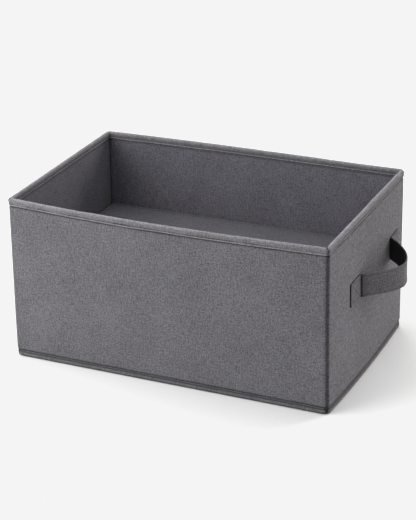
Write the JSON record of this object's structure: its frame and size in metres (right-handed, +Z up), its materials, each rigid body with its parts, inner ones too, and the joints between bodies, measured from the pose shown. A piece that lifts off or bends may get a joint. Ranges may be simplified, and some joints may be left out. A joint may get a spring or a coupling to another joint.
{
  "type": "fabric storage bin",
  "caption": "Open-topped rectangular storage bin of stiffened fabric walls with a bound rim, swinging strap handles and a loose base insert.",
  "frame": {"origin": "middle of the underside, on the surface the bin stands on", "axes": "+X along the bin towards the right-hand handle, +Y across the bin towards the back long wall, +Z up"},
  "size_m": [0.4626, 0.2464, 0.2],
  "materials": {
    "outer_cloth": "heathered dark grey linen-look woven cloth, matt",
    "lining_cloth": "heathered charcoal woven cloth, matt",
    "binding_cloth": "heathered grey self-fabric binding, matt",
    "strap_cloth": "heathered grey strap cloth, topstitched",
    "black_webbing": "black ribbed webbing",
    "board": "raw grey-brown stiffening board",
    "backing_paper": "black non-woven backing",
    "thread": "dark grey sewing thread"
  },
  "bodies": {
    "shell": {"outer_front": "outer_cloth", "outer_back": "outer_cloth", "outer_left": "outer_cloth", "outer_right": "outer_cloth", "outer_underside": "outer_cloth", "lining_front": "lining_cloth", "lining_back": "lining_cloth", "lining_left": "lining_cloth", "lining_right": "lining_cloth", "lining_floor": "lining_cloth", "board_front": "board", "board_back": "board", "board_left": "board", "board_right": "board", "rim_binding": "binding_cloth", "foot_band": "binding_cloth", "corner_seam_front_left": "binding_cloth", "corner_seam_front_right": "binding_cloth", "corner_seam_back_left": "binding_cloth", "corner_seam_back_right": "binding_cloth", "corner_thread_front_left": "thread", "corner_thread_front_right": "thread", "corner_thread_back_left": "thread", "corner_thread_back_right": "thread", "rim_thread_outer": "thread", "rim_thread_inner": "thread", "foot_thread": "thread", "handle_left_strap_end_front": "strap_cloth", "handle_left_webbing_end_front": "black_webbing", "handle_left_patch_front": "backing_paper", "handle_left_stitch_front": "thread", "handle_left_strap_end_back": "strap_cloth", "handle_left_webbing_end_back": "black_webbing", "handle_left_patch_back": "backing_paper", "handle_left_stitch_back": "thread", "handle_right_strap_end_front": "strap_cloth", "handle_right_webbing_end_front": "black_webbing", "handle_right_patch_front": "backing_paper", "handle_right_stitch_front": "thread", "handle_right_strap_end_back": "strap_cloth", "handle_right_webbing_end_back": "black_webbing", "handle_right_patch_back": "backing_paper", "handle_right_stitch_back": "thread"},
    "handle_left": {"handle_left_strap": "strap_cloth", "handle_left_webbing": "black_webbing"},
    "handle_right": {"handle_right_strap": "strap_cloth", "handle_right_webbing": "black_webbing"},
    "base_insert": {"insert_cover": "lining_cloth", "insert_board": "board", "insert_backing": "backing_paper", "insert_thread": "thread"}
  },
  "joints": [
    {"name": "handle_right_swing", "type": "hinge", "parent": "shell", "child": "handle_right", "pos_m": [0.1926, 0.0195, 0.1175], "axis": [0, -1, 0], "range_deg": [-30, 45]},
    {"name": "handle_left_swing", "type": "hinge", "parent": "shell", "child": "handle_left", "pos_m": [-0.1926, 0.0195, 0.1175], "axis": [0, 1, 0], "range_deg": [-30, 45]},
    {"name": "base_insert_slide", "type": "slide", "parent": "shell", "child": "base_insert", "axis": [0, 0, 1], "range_m": [-0.097, 0.108]}
  ]
}
